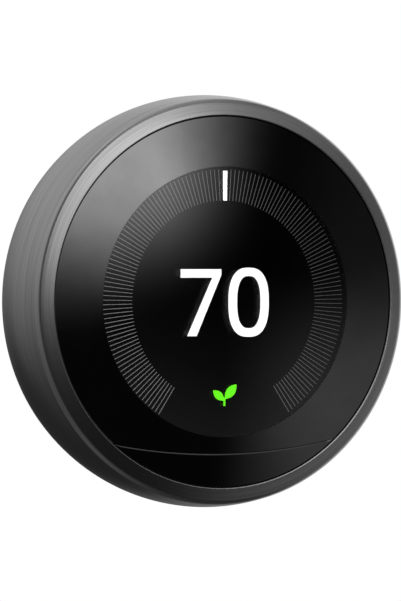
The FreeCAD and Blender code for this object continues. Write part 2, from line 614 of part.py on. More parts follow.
# ---- head, front half: clicks in as one piece ------------------------------------------------------------
def front_chassis():
    """A sleeve with a web across it: the web slides on the guide pins, and the flange carries the lens."""
    seat = ledge_height() - GLUE_THICK
    shell = turned(
        (WALL_IN, CHASSIS_LOW),
        [
            (WALL_R, CHASSIS_LOW),
            (WALL_R, FLANGE_LOW),
            (FLANGE_R, FLANGE_LOW),
            (FLANGE_R, seat),
            (WALL_IN, seat),
            (WALL_IN, WEB_HIGH),
            (0, WEB_HIGH),
            (0, WEB_LOW),
            (WALL_IN, WEB_LOW),
        ],
    )
    post_r = 1.5
    posts = [rod(post_r, PLUNGER_TOP + 0.05, WEB_LOW)]
    posts += [rod(post_r, WEB_HIGH, SENSOR_FLOOR, *on_circle(SENSOR_CIRCLE, a)) for a in SENSOR_POST_ANGLES]
    low, high = WEB_LOW - 1, WEB_HIGH + 1
    cuts = [rod(PIN_R + RUN_GAP, low, high, x, z) for x, z in guide_pins()]
    cuts.append(flex_slot(low, high))
    cuts.append(block(WALL_IN - 1, WALL_R + 1, -2.4, 2.4, CHASSIS_LOW - 1, ENCODER_HIGH))
    return without(joined(shell, *posts), *cuts)


def glide_ring():
    """The slippery sleeve that the turning ring runs on."""
    return tube(CARRIER_BORE - RUN_GAP, WALL_R, GLIDE_LOW, FLANGE_LOW)


def retaining_ring():
    """A split snap ring behind the turning ring's rib."""
    split = block(-2.0, 2.0, -CARRIER_BORE, 1 - WALL_R, SNAP_LOW - 1, SNAP_HIGH + 1)
    return without(tube(CARRIER_BORE - 2 * LOOSE, WALL_R, SNAP_LOW, SNAP_HIGH), split)


def ring_sensor():
    """An optical sensor in a notch of the chassis, with its lens towards the encoder band."""
    face, middle = SENSOR_X + 1.8, (ENCODER_LOW + ENCODER_HIGH) / 2
    body = block(SENSOR_X, face, -2.2, 2.2, CHASSIS_LOW + 0.3, ENCODER_HIGH - 0.2)
    return joined(body, Part.makeCylinder(0.9, 0.4, at(face, middle), V(1, 0, 0)))


def ring_sensor_flex():
    """A ribbon from the sensor up the chassis' wall and along the underside of its web."""
    tail = block(SENSOR_X - FLEX_THICK, SENSOR_X, -1.5, 1.5, 14.5, WEB_LOW)
    along = block(SOCKET_X[1] - 0.8, SENSOR_X, -1.5, 1.5, WEB_LOW - FLEX_THICK, WEB_LOW)
    return joined(tail, along)


def flex_socket():
    """The socket under the web that the ring sensor's ribbon plugs into."""
    body = block(*SOCKET_X, -2.3, 2.3, WEB_LOW - 1.3, WEB_LOW)
    mouth = block(SOCKET_X[1] - 0.8, SOCKET_X[1] + 1, -1.5, 1.5, WEB_LOW - FLEX_THICK, WEB_LOW + 1)
    return without(body, mouth)


def lens_height(r, top):
    """Height of a surface with the lens's shape whose middle is at top: a shallow dome, then a cone."""
    if r <= DISPLAY_R:
        return top - DOME_R + math.sqrt(DOME_R**2 - r**2)
    return lens_height(DISPLAY_R, top) - (r - DISPLAY_R) * math.tan(LENS_SLOPE)


def ledge_height():
    return lens_height(LEDGE_R, TOTAL_DEPTH - LENS_THICK)


def lens_blank():
    top, back = TOTAL_DEPTH, TOTAL_DEPTH - LENS_THICK
    half = DISPLAY_R / 2
    flat = LENS_R - LENS_CHAMFER
    return turned(
        (0, back),
        [
            (0, top),
            ((half, lens_height(half, top)), (DISPLAY_R, lens_height(DISPLAY_R, top))),
            (flat, lens_height(flat, top)),
            (LENS_R, lens_height(flat, top) - LENS_CHAMFER),
            (LENS_R, ledge_height()),
            (LEDGE_R, ledge_height()),
            (DISPLAY_R, lens_height(DISPLAY_R, back)),
            ((half, lens_height(half, back)), (0, back)),
        ],
    )


def window_circle(r):
    """A wide plug on the circle that parts the lens from the sensor window."""
    return rod(r, WEB_HIGH, TOTAL_DEPTH + 1, 0, WINDOW_ARC_BOTTOM + WINDOW_ARC_R)


def bevelled(shape, r):
    """The shape with the front edge along the window's arc bevelled."""
    z0 = WINDOW_ARC_BOTTOM + WINDOW_ARC_R
    middle = TOTAL_DEPTH - LENS_THICK  # the front edge lies above this height, and the rear one below it
    found = []
    for edge in shape.Edges:
        if edge.Degenerated:
            continue
        points = edge.discretize(7)
        on_arc = all(abs(math.hypot(p.x, p.z - z0) - r) < 1e-3 for p in points)
        if on_arc and min(-p.y for p in points) > middle - 0.4:
            found.append(edge)
    return shape.makeChamfer(WINDOW_BEVEL, found)


def face_lens():
    r = WINDOW_ARC_R - WINDOW_GAP / 2
    return bevelled(lens_blank().common(window_circle(r)), r)


def sensor_window():
    r = WINDOW_ARC_R + WINDOW_GAP / 2
    return bevelled(without(lens_blank(), window_circle(r)), r)


def mask_film():
    """The dark film behind the lens, round the display."""
    back, edge = TOTAL_DEPTH - LENS_THICK, LEDGE_R - 0.1
    inner, outer = lens_height(DISPLAY_R, back), lens_height(edge, back)
    under = [(edge, outer - MASK_THICK), (DISPLAY_R, inner - MASK_THICK)]
    film = turned((DISPLAY_R, inner), [(edge, outer), *under])
    return film.common(window_circle(WINDOW_ARC_R - WINDOW_GAP / 2))


def lens_adhesive():
    return tube(FLANGE_R - 0.1, LEDGE_R, ledge_height() - GLUE_THICK, ledge_height())


def flex_slot(low, high):
    """The opening that the display's ribbon passes through."""
    return block(FLEX_X[0] - 0.3, FLEX_X[1] + 0.3, -2.4, -0.8, low, high)


def display_frame():
    """A shallow cup on the web that holds the backlight and the panel."""
    shell = tube(FRAME_R, FRAME_IN, WEB_HIGH, DISPLAY_TOP - 0.1)
    floor = rod(FRAME_R, WEB_HIGH, DISPLAY_FLOOR)
    return without(joined(shell, floor), flex_slot(WEB_HIGH - 1, DISPLAY_FLOOR + 1))


def backlight():
    return without(rod(FRAME_IN - 0.1, DISPLAY_FLOOR, DISPLAY_LOW), flex_slot(WEB_HIGH, FLEX_TOP + 0.2))


def display_panel():
    return rod(FRAME_IN, DISPLAY_LOW, DISPLAY_TOP)


def display_flex():
    """A ribbon from the display down through the web, with slack in an S, into the board's connector."""
    x0, x1 = FLEX_X
    top, slack_top, slack_low, tip = FLEX_TOP, 20.4, 16.4, MAIN_HIGH + 0.7
    middle = (slack_top + slack_low) / 2
    quarter = (slack_top - slack_low) / 4
    reach = 0.9

    def side(shift):
        z = -1.6 + shift
        bulge = (z + reach, slack_top - quarter)
        dip = (z - reach, slack_low + quarter)
        return z, bulge, dip

    z, bulge, dip = side(0.0)
    z2, bulge2, dip2 = side(FLEX_THICK)

    def p(zz, h):
        return V(x0, -h, zz)

    edges = [
        Part.LineSegment(p(z, top), p(z, slack_top)).toShape(),
        Part.Arc(p(z, slack_top), p(*bulge), p(z, middle)).toShape(),
        Part.Arc(p(z, middle), p(*dip), p(z, slack_low)).toShape(),
        Part.LineSegment(p(z, slack_low), p(z, tip)).toShape(),
        Part.LineSegment(p(z, tip), p(z2, tip)).toShape(),
        Part.LineSegment(p(z2, tip), p(z2, slack_low)).toShape(),
        Part.Arc(p(z2, slack_low), p(*dip2), p(z2, middle)).toShape(),
        Part.Arc(p(z2, middle), p(*bulge2), p(z2, slack_top)).toShape(),
        Part.LineSegment(p(z2, slack_top), p(z2, top)).toShape(),
        Part.LineSegment(p(z2, top), p(z, top)).toShape(),
    ]
    return Part.Face(Part.Wire(edges)).extrude(V(x1 - x0, 0, 0))


def fresnel_lens():
    """The moulded sheet behind the sensor window that focuses heat on the motion sensors."""
    low, high, groove = 27.25, 27.75, 0.16
    sheet = rod(34.6, low, high).cut(window_circle(WINDOW_ARC_R - 0.6))
    grooves = []
    for x in (-9.5, 9.5):
        for r in (1.0, 1.8, 2.6):
            grooves.append(tube(r + groove, r - groove, high - 0.15, high + 0.15, x, -31.0))
    return without(sheet, *grooves)


def sensor_board():
    return sector(34.4, 28.9, SENSOR_FLOOR, SENSOR_DECK, 270, 28)


def motion_sensors():
    """Two round cans with a flange and a square window each."""
    flange_top, can_top = SENSOR_DECK + 0.4, SENSOR_DECK + 2.5
    parts = []
    for a in SENSOR_ANGLES:
        x, z = on_circle(SENSOR_CIRCLE, a)
        can = joined(rod(2.5, SENSOR_DECK, flange_top, x, z), rod(2.2, flange_top, can_top, x, z))
        parts.append(without(can, block(x - 1.0, x + 1.0, z - 0.8, z + 0.8, can_top - 0.3, can_top + 1)))
    return group(parts)


def proximity_sensor():
    """A small chip with a larger hole for its light and a smaller one for its eye."""
    z, top = -31.8, SENSOR_DECK + 1.4
    body = block(-2.4, 2.4, z - 1.2, z + 1.2, SENSOR_DECK, top)
    return without(body, rod(0.7, top - 0.4, top + 1, -1.3, z), rod(0.5, top - 0.4, top + 1, 1.3, z))


# ---- turning ring ----------------------------------------------------------------------------------------
def outer_ring():
    """The brushed metal shell: a sloped lip round the lens, a rounded edge and a barrel-shaped side."""
    return turned(
        (RING_BORE, RING_BACK[1][1]),
        [
            RING_BACK[1],
            (RING_BACK[0], RING_BARREL[1]),
            (RING_BARREL[0], RING_EDGE[1]),
            (RING_EDGE[0], RING_SLOPE_END),
            RING_LIP[2],
            (RING_LIP[1], RING_LIP[0]),
            (RING_LIP[0][0], CARRIER_HIGH + 1.6),
            (RING_BORE, CARRIER_HIGH),
        ],
    )


def ring_carrier():
    """The plastic sleeve inside the metal shell, with the rib that keeps it between its two guides."""
    rib_r, rib_low, rib_high = WALL_R + 2 * LOOSE, SNAP_HIGH + SIDE_GAP, GLIDE_LOW - SIDE_GAP
    return turned(
        (CARRIER_BORE, CARRIER_LOW),
        [
            (RING_BORE, CARRIER_LOW),
            (RING_BORE, CARRIER_HIGH),
            (CARRIER_BORE, CARRIER_HIGH),
            (CARRIER_BORE, rib_high),
            (rib_r, rib_high),
            (rib_r, rib_low),
            (CARRIER_BORE, rib_low),
        ],
    )


def encoder_band():
    """A thin band of fine teeth on the carrier's bore, which the ring sensor reads."""
    thick, half, edge = 0.2, 0.9, 0.4
    band = tube(CARRIER_BORE, CARRIER_BORE - thick, ENCODER_LOW, ENCODER_HIGH)
    r0, r1 = CARRIER_BORE - 0.3, CARRIER_BORE - 0.1
    gaps = []
    for i in range(ENCODER_TEETH):
        gap = block(r0, r1, -half, half, ENCODER_LOW + edge, ENCODER_HIGH - edge)
        gaps.append(gap.rotated(V(0, 0, 0), V(0, 1, 0), 360.0 * i / ENCODER_TEETH))
    return without(band, *gaps)


# ---- write every node ------------------------------------------------------------------------------------
def main():
    os.makedirs("parts", exist_ok=True)
    nodes = [
        base_plate, base_rim, base_cover, base_board, base_chips, terminal_contacts, tab_springs, base_socket,
        level_vial, level_fluid, base_screws, latch_springs, rear_cover, latch_studs, main_board,
        main_chips, shield_can, battery, battery_lead, board_connectors, usb_port, head_plug, click_switch,
        switch_plunger, board_screws, guide_screws, return_springs, front_chassis, glide_ring,
        retaining_ring, ring_sensor, ring_sensor_flex, flex_socket, display_frame, backlight, display_panel,
        display_flex, face_lens, sensor_window, mask_film, lens_adhesive, fresnel_lens, sensor_board,
        motion_sensors, proximity_sensor, outer_ring, ring_carrier, encoder_band,
    ]
    for make in nodes:
        export(make.__name__, make())
    for side, word in ((-1, "left"), (1, "right")):
        export("terminal_block_" + word, terminal_block(side))
        for i in range(TERMINALS):
            export(f"terminal_tab_{word}_{i + 1}", terminal_tab(side, i))


main()
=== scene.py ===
"""Looks of the round wall thermostat: brushed ring, dark domed glass, lit display, and every inner piece.

Everything is in metres in the frame's own axes: the wall is y = 0, the face looks along -Y, +Z is up. Heights
named h are distances from the wall, so a point at height h has y = -h.
"""

import json
import math

import bmesh
import bpy
from mathutils import Matrix, Vector


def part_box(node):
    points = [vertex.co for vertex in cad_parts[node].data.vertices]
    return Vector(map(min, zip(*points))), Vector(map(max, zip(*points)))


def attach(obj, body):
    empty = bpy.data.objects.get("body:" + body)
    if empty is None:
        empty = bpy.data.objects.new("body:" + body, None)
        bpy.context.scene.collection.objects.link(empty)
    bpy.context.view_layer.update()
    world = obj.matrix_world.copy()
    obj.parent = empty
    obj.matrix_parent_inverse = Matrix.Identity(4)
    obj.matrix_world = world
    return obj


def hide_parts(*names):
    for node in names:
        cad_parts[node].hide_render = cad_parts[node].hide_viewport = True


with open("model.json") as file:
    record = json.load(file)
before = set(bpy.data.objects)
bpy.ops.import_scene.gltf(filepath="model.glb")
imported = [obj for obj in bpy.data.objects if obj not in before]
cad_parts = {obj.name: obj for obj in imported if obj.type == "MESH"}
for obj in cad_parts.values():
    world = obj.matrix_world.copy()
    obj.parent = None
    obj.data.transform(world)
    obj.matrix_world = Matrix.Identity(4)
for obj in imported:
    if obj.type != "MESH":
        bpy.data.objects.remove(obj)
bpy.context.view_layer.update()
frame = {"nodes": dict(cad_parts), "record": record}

MM = 0.001

# ---- sizes, all in millimetres, worked out from the frame where it holds them ---------------------------


def top_of(node):
    """Largest distance from the wall that a CAD node reaches, in millimetres."""
    return -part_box(node)[0].y / MM


LENS_TOP = top_of("face_lens")
LENS_R = 37.4
LENS_THICK = 1.25
DISPLAY_R = 27.3
LENS_SLOPE = math.radians(3.5)
DOME_R = DISPLAY_R / math.sin(LENS_SLOPE)
LENS_CHAMFER = 0.1
WINDOW_ARC_R = 126.2
WINDOW_ARC_BOTTOM = -30.58
WINDOW_GAP = 0.08
LENS_BEVEL = 0.05
DOME_GAP = 0.005  # between the clear dome's wall and the printed rim round it
EDGE_PAINT = (0.015, 0.035)  # how far inside the display's radius the paint on that wall lies
EDGE_PAINT_SINK = 0.01  # how far below the dome's edge it ends
WINDOW_BEVEL, WINDOW_BEVEL_SLOPE = 0.27, 0.55
MASK_THICK = 0.13
MASK_R = 37.35
MASK_SHORT = 0.04  # how far the film ends before the lens does, along the window's arc
MASK_SINK = 0.01  # between the film and the lens's back
PANEL_TOP = top_of("display_panel")
GRAPHIC_THICK = 0.08


# ---- mesh helpers --------------------------------------------------------------------------------------
def add_piece(name, verts, faces, body, replaces=None, sharp=None):
    """A mesh piece from millimetre points (x, h, z), smooth-shaded, riding on a body."""
    mesh = bpy.data.meshes.new(name)
    mesh.from_pydata([(x * MM, -h * MM, z * MM) for x, h, z in verts], [], faces)
    work = bmesh.new()
    work.from_mesh(mesh)
    bmesh.ops.remove_doubles(work, verts=work.verts, dist=1e-7)
    bmesh.ops.recalc_face_normals(work, faces=work.faces)
    work.to_mesh(mesh)
    work.free()
    for polygon in mesh.polygons:
        polygon.use_smooth = True
    if sharp:
        mesh.set_sharp_from_angle(angle=math.radians(sharp))
    piece = bpy.data.objects.new(name, mesh)
    bpy.context.scene.collection.objects.link(piece)
    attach(piece, body)
    if replaces:
        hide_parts(replaces)
    return piece


def around(angle, profile):
    """The (radius, h) points of a profile as (x, h, z) points, at an angle from the top."""
    return [(r * math.sin(angle), h, r * math.cos(angle)) for r, h in profile]


def skin(columns, closed=True):
    """Points and faces of the surface through closed outlines of equal length, one column for each.

    Where closed, the last outline is joined to the first.
    """
    verts = [point for column in columns for point in column]
    count = len(columns[0])
    faces = []
    for i in range(len(columns) if closed else len(columns) - 1):
        a, b = i * count, (i + 1) % len(columns) * count
        faces += [(a + k, a + (k + 1) % count, b + (k + 1) % count, b + k) for k in range(count)]
    return verts, faces


def lathe(profile, segments=400):
    """Points and faces of a closed ring turned round the axis from (radius, h) points."""
    return skin([around(2 * math.pi * i / segments, profile) for i in range(segments)])


def arc_points(start, via, end, steps):
    """Points along the circle through three (radius, h) points, from start to just before end."""
    (ax, ay), (bx, by), (cx, cy) = start, via, end
    d = 2 * (ax * (by - cy) + bx * (cy - ay) + cx * (ay - by))
    ux = ((ax**2 + ay**2) * (by - cy) + (bx**2 + by**2) * (cy - ay) + (cx**2 + cy**2) * (ay - by)) / d
    uy = ((ax**2 + ay**2) * (cx - bx) + (bx**2 + by**2) * (ax - cx) + (cx**2 + cy**2) * (bx - ax)) / d
    radius = math.hypot(ax - ux, ay - uy)
    a0, a1, a2 = (math.atan2(y - uy, x - ux) for x, y in (start, via, end))
    turn = (a2 - a0) % (2 * math.pi)
    if (a1 - a0) % (2 * math.pi) > turn:
        turn -= 2 * math.pi
    angles = [a0 + turn * i / steps for i in range(steps)]
    return [(ux + radius * math.cos(a), uy + radius * math.sin(a)) for a in angles]


# ---- node helpers --------------------------------------------------------------------------------------
class Look:
    """One material with short ways to add the nodes that all of them use."""

    def __init__(self, name, metallic=0.0, coat=0.0, ior=1.5):
        self.material = bpy.data.materials.new(name)
        self.material.use_nodes = True
        self.tree = self.material.node_tree
        self.nodes = self.tree.nodes
        self.shader = self.nodes["Principled BSDF"]
        self.shader.inputs["Metallic"].default_value = metallic
        self.shader.inputs["Coat Weight"].default_value = coat
        self.shader.inputs["IOR"].default_value = ior
        self.place = self.add("ShaderNodeTexCoord").outputs["Object"]

    def add(self, kind, **settings):
        node = self.nodes.new(kind)
        for key, value in settings.items():
            setattr(node, key, value)
        return node

    def link(self, source, target):
        self.tree.links.new(source, target)

    def feed(self, node, values):
        for key, value in values.items():
            socket = node.inputs[key]
            if hasattr(value, "is_output"):
                self.link(value, socket)
            else:
                socket.default_value = value
        return node

    def math(self, operation, *values, clamp=False):
        node = self.add("ShaderNodeMath", operation=operation, use_clamp=clamp)
        self.feed(node, dict(enumerate(values)))
        return node.outputs[0]

    def noise(self, scale, detail=3.0, rough=0.5, vector=None, w=None):
        vector = vector or self.place
        node = self.add("ShaderNodeTexNoise", noise_dimensions="4D" if w is not None else "3D")
        self.feed(node, {"Vector": vector, "Scale": scale, "Detail": detail, "Roughness": rough})
        if w is not None:
            self.feed(node, {"W": w})
        return node.outputs["Fac"]

    def ramp(self, factor, stops):
        node = self.add("ShaderNodeValToRGB")
        self.link(factor, node.inputs[0])
        elements = node.color_ramp.elements
        while len(elements) < len(stops):
            elements.new(0.5)
        for element, (position, colour) in zip(elements, stops):
            element.position = position
            element.color = (*colour, 1.0)
        return node.outputs["Color"]

    def between(self, factor, low, high):
        """A number that goes from low to high as the factor goes from 0 to 1."""
        node = self.add("ShaderNodeMapRange")
        self.feed(node, {"Value": factor, "To Min": low, "To Max": high})
        return node.outputs["Result"]

    def colour(self, socket):
        self.link(socket, self.shader.inputs["Base Color"])

    def roughness(self, socket):
        self.link(socket, self.shader.inputs["Roughness"])

    def bump(self, height, strength, depth):
        node = self.add("ShaderNodeBump")
        self.feed(node, {"Height": height, "Strength": strength, "Distance": depth})
        self.link(node.outputs["Normal"], self.shader.inputs["Normal"])

    def glow(self, colour, strength):
        self.feed(self.shader, {"Emission Color": colour, "Emission Strength": strength})


def shade(colour, by):
    """The colour made lighter or darker by a factor, kept between 0 and 1."""
    return tuple(max(0.0, min(1.0, c * by)) for c in colour)


def plastic(name, colour, rough=0.45, grain=2.2, depth=0.00003, mottle=0.06, coat=0.0):
    """Moulded plastic: a fine spark-eroded grain, faint flow mottling and uneven sheen."""
    look = Look(name, coat=coat)
    flow = look.noise(70.0, 3.0, 0.6)
    look.colour(look.ramp(flow, [(0.3, shade(colour, 1 - mottle)), (0.7, shade(colour, 1 + mottle))]))
    fine = look.noise(grain * 1000, 4.0, 0.6)
    look.roughness(look.between(look.noise(180.0, 4.0), rough - 0.07, rough + 0.07))
    look.bump(fine, 0.35, depth)
    return look.material


def metal(name, colour, rough=0.3, stretch=(1.0, 1.0, 1.0), scale=900.0, depth=0.00001):
    """Rolled, turned or plated metal: streaks along one way, slight staining."""
    look = Look(name, metallic=1.0)
    scaled = look.add("ShaderNodeMapping")
    look.feed(scaled, {"Vector": look.place, "Scale": stretch})
    streaks = look.noise(scale, 3.0, 0.6, vector=scaled.outputs[0])
    stain = look.noise(160.0, 4.0, 0.6)
    look.colour(look.ramp(stain, [(0.25, shade(colour, 0.86)), (0.75, shade(colour, 1.08))]))
    look.roughness(look.between(streaks, rough - 0.08, rough + 0.12))
    look.bump(streaks, 0.25, depth)
    return look.material


def circuit_board(name):
    """Solder mask over copper: traces as raised bands, plated dots, and a finely uneven gloss."""
    look = Look(name, coat=0.3)
    cells = look.add("ShaderNodeTexVoronoi", feature="DISTANCE_TO_EDGE", distance="CHEBYCHEV")
    look.feed(cells, {"Vector": look.place, "Scale": 420.0, "Randomness": 0.55})
    trace = look.math("LESS_THAN", cells.outputs["Distance"], 0.09)
    dots = look.add("ShaderNodeTexVoronoi")
    look.feed(dots, {"Vector": look.place, "Scale": 560.0, "Randomness": 0.8})
    pad = look.math("LESS_THAN", dots.outputs["Distance"], 0.16)
    mask = look.add("ShaderNodeMix", data_type="RGBA")
    look.feed(mask, {"Factor": trace, "A": (0.008, 0.075, 0.04, 1), "B": (0.015, 0.13, 0.07, 1)})
    plated = look.add("ShaderNodeMix", data_type="RGBA")
    look.feed(plated, {"Factor": pad, "A": mask.outputs["Result"], "B": (0.62, 0.45, 0.16, 1)})
    look.colour(plated.outputs["Result"])
    look.roughness(look.between(look.noise(900.0, 2.0), 0.28, 0.42))
    look.bump(look.math("MAXIMUM", trace, pad), 0.5, 0.00002)
    return look.material


def brushed_ring(name):
    """Dark coated steel with fine lines brushed round the ring."""
    look = Look(name, metallic=1.0)
    parts = look.add("ShaderNodeSeparateXYZ")
    look.link(look.place, parts.inputs[0])
    x, y, z = parts.outputs
    radius = look.math("SQRT", look.math("ADD", look.math("MULTIPLY", x, x), look.math("MULTIPLY", z, z)))
    around = look.add("ShaderNodeCombineXYZ")
    look.feed(around, {"X": look.math("DIVIDE", x, radius), "Z": look.math("DIVIDE", z, radius)})
    across = look.math("ADD", radius, y)
    fine = look.noise(1.6, 2.0, 0.5, vector=around.outputs[0], w=look.math("MULTIPLY", across, 9000.0))
    broad = look.noise(1.2, 2.0, 0.5, vector=around.outputs[0], w=look.math("MULTIPLY", across, 1400.0))
    lines = look.math("ADD", look.math("MULTIPLY", fine, 0.65), look.math("MULTIPLY", broad, 0.35))
    look.colour(look.ramp(lines, [(0.32, (0.27, 0.27, 0.273)), (0.68, (0.50, 0.50, 0.504))]))
    look.roughness(look.between(lines, 0.36, 0.22))
    look.bump(lines, 0.22, 0.000012)
    look.shader.inputs["Anisotropic"].default_value = 0.55
    tangent = look.add("ShaderNodeTangent", direction_type="RADIAL", axis="Y")
    look.link(tangent.outputs[0], look.shader.inputs["Tangent"])
    return look.material


def lens_glass(name):
    """Smoked hard-coated glass, dark enough to hide the panel and to pass only what it lights up."""
    look = Look(name, ior=1.5)
    look.shader.inputs["Transmission Weight"].default_value = 1.0
    smears = look.noise(60.0, 4.0, 0.65)
    look.colour(look.ramp(smears, [(0.3, (0.156,) * 3), (0.7, (0.164,) * 3)]))
    look.shader.inputs["Specular Tint"].default_value = (2.15, 2.15, 2.15, 1.0)
    look.shader.inputs["Roughness"].default_value = 0.0
    return look.material


def dark_gloss(name, colour, rough, metallic=0.0, ior=1.5):
    """Polished dark plastic, glass or ink, with slight haze where it has been wiped."""
    look = Look(name, metallic=metallic, ior=ior)
    haze = look.noise(90.0, 5.0, 0.6)
    look.colour(look.ramp(haze, [(0.3, shade(colour, 0.9)), (0.7, shade(colour, 1.1))]))
    look.roughness(look.between(haze, rough * 0.6, rough * 1.4))
    return look.material


def lit(name, colour, strength, far_level=1.0):
    """A lit part of the display, with the panel's fine cells.

    It dims to far_level towards the upper right. The smoked lens takes most of its strength.
    """
    look = Look(name)
    cells = look.add("ShaderNodeTexVoronoi", feature="DISTANCE_TO_EDGE", distance="CHEBYCHEV")
    look.feed(cells, {"Vector": look.place, "Scale": 8000.0, "Randomness": 0.0})
    level = look.between(cells.outputs["Distance"], 0.92, 1.04)
    tint = look.add("ShaderNodeMix", data_type="RGBA")
    look.feed(tint, {"Factor": level, "A": (*shade(colour, 0.85), 1), "B": (*colour, 1)})
    parts = look.add("ShaderNodeSeparateXYZ")
    look.link(look.place, parts.inputs[0])
    across = look.math("MULTIPLY", parts.outputs[0], 20.0)
    up = look.math("MULTIPLY", parts.outputs[2], 8.0)
    slant = look.math("ADD", look.math("ADD", across, up), 0.5)
    far = look.ramp(slant, [(0.0, (1.0, 1.0, 1.0)), (1.0, (far_level,) * 3)])
    shaded = look.add("ShaderNodeMix", data_type="RGBA", blend_type="MULTIPLY")
    look.feed(shaded, {"Factor": 1.0, "A": tint.outputs["Result"], "B": far})
    look.colour(shaded.outputs["Result"])
    look.glow(shaded.outputs["Result"], strength)
    look.shader.inputs["Roughness"].default_value = 0.3
    return look.material


def panel_glass(name):
    """The black display panel: it glows faintly, more towards the lower left."""
    look = Look(name, ior=1.5)
    haze = look.noise(120.0, 4.0)
    look.colour(look.ramp(haze, [(0.3, (0.0012, 0.0012, 0.0012)), (0.7, (0.0022, 0.0022, 0.0022))]))
    look.roughness(look.between(haze, 0.02, 0.05))
    parts = look.add("ShaderNodeSeparateXYZ")
    look.link(look.place, parts.inputs[0])
    # a faint glow on the black panel that grows towards the lower left
    across = look.math("MULTIPLY", parts.outputs[0], -12.0)
    up = look.math("MULTIPLY", parts.outputs[2], -33.0)
    lower_left_glow = look.math("ADD", across, up)
    stops = [(0.0, (0.0, 0.0, 0.0)), (0.5, (0.22, 0.22, 0.22)), (0.95, (0.6, 0.6, 0.6))]
    look.glow(look.ramp(lower_left_glow, stops), 0.09)
    return look.material


# ---- the pieces that are seen from the front -----------------------------------------------------------
def lens_height(r, top):
    """Height of the lens's surface at a radius: a shallow dome, then a cone."""
    if r <= DISPLAY_R:
        return top - DOME_R + math.sqrt(DOME_R**2 - r**2)
    return lens_height(DISPLAY_R, top) - (r - DISPLAY_R) * math.tan(LENS_SLOPE)


def arc_z(x, gap):
    """Height z of the window's arc at x, moved by the gap towards the window."""
    r = WINDOW_ARC_R + gap
    return WINDOW_ARC_BOTTOM + WINDOW_ARC_R - math.sqrt(r**2 - x**2)


def arc_reach(angle, gap):
    """Distance from the axis to the window's arc along a direction, or a large number if it isn't met."""
    x, z = math.sin(angle), math.cos(angle)
    centre = WINDOW_ARC_BOTTOM + WINDOW_ARC_R
    r = WINDOW_ARC_R + gap
    half = -z * centre
    root = half**2 - (centre**2 - r**2)
    if z >= 0 or root < 0:
        return 1e6
    return -half + math.sqrt(root)


def lens_corner(gap):
    """Angle from the top at which the window's arc leaves the lens's edge."""
    centre = WINDOW_ARC_BOTTOM + WINDOW_ARC_R
    r = WINDOW_ARC_R + gap
    z = (LENS_R**2 - r**2 + centre**2) / (2 * centre)
    return math.acos(z / LENS_R)


def lens_angles(gap, steps):
    """Angles all the way round, evenly spaced on each side of the two corners."""
    corner = lens_corner(gap)
    low = int(steps * (math.pi - corner) / math.pi)
    high = steps - low
    first = [corner * i / (high // 2) for i in range(high // 2)]
    under = [corner + (2 * math.pi - 2 * corner) * i / low for i in range(low)]
    last = [2 * math.pi - corner + corner * i / (high // 2) for i in range(high // 2)]
    return first + under + last


def face_lens():
    """The clear dome over the display."""
    edge, back_top = DISPLAY_R - DOME_GAP, LENS_TOP - LENS_THICK
    radii = [edge * i / 14 for i in range(15)]
    profile = [(r, lens_height(r, LENS_TOP)) for r in radii]
    profile += [(r, lens_height(r, back_top)) for r in reversed(radii)]
    verts, faces = lathe(profile)
    return add_piece("face_lens_glass", verts, faces, "head_front", "face_lens", sharp=20)


def lens_rim():
    """The lens outside the display, dark because its back is printed, cut off at the window's arc."""
    gap = -WINDOW_GAP / 2
    shares = [0.0, 0.34, 0.67, 1.0]
    back_top = LENS_TOP - LENS_THICK
    columns = []
    for a in lens_angles(gap, 400):
        reach = arc_reach(a, gap)
        edge = min(reach, LENS_R)
        bevel = LENS_BEVEL if reach < LENS_R else LENS_CHAMFER
        radii = [DISPLAY_R + (edge - bevel - DISPLAY_R) * share for share in shares]
        points = [(r, lens_height(r, LENS_TOP)) for r in radii]
        points.append((edge, points[-1][1] - bevel))
        points += [(r, lens_height(r, back_top)) for r in (edge, DISPLAY_R)]
        columns.append(around(a, points))
    verts, faces = skin(columns)
    return add_piece("face_lens_rim", verts, faces, "head_front", sharp=20)


def display_wall():
    """The dark paint on the dome's side wall."""
    low = lens_height(DISPLAY_R, LENS_TOP - LENS_THICK)
    high = lens_height(DISPLAY_R, LENS_TOP) - EDGE_PAINT_SINK
    outer, inner = (DISPLAY_R - inside for inside in EDGE_PAINT)
    verts, faces = lathe([(outer, low), (outer, high), (inner, high), (inner, low)])
    return add_piece("display_edge_paint", verts, faces, "head_front", sharp=30)


def sensor_window():
    """The segment below the lens: bevelled along the window's arc, chamfered along the lens's edge."""
    gap = WINDOW_GAP / 2
    corner = lens_corner(gap)
    tip = LENS_R * math.sin(corner)
    columns, steps = [], 96
    back_top = LENS_TOP - LENS_THICK
    for i in range(steps + 1):
        x = -tip * math.cos(math.pi * i / steps)
        high, low = arc_z(x, gap), -math.sqrt(max(LENS_R**2 - x**2, 0.0))
        span = high - low
        bevel, chamfer = min(WINDOW_BEVEL, span * 0.3), min(LENS_CHAMFER, span * 0.3)
        inside = [high - bevel + (low + chamfer - high + bevel) * k / 5 for k in range(6)]
        flat = [(z, lens_height(math.hypot(x, z), LENS_TOP)) for z in inside]
        points = [(high, flat[0][1] - bevel * WINDOW_BEVEL_SLOPE)] + flat + [(low, flat[-1][1] - chamfer)]
        foot = lens_height(MASK_R, back_top)
        points += [(low, foot), (high, foot)]
        columns.append([(x, h, z) for z, h in points])
    verts, faces = skin(columns, closed=False)
    name, slot = "sensor_window_cover", "window_plastic"
    return add_piece(name, verts, faces, "head_front", "sensor_window", sharp=20)


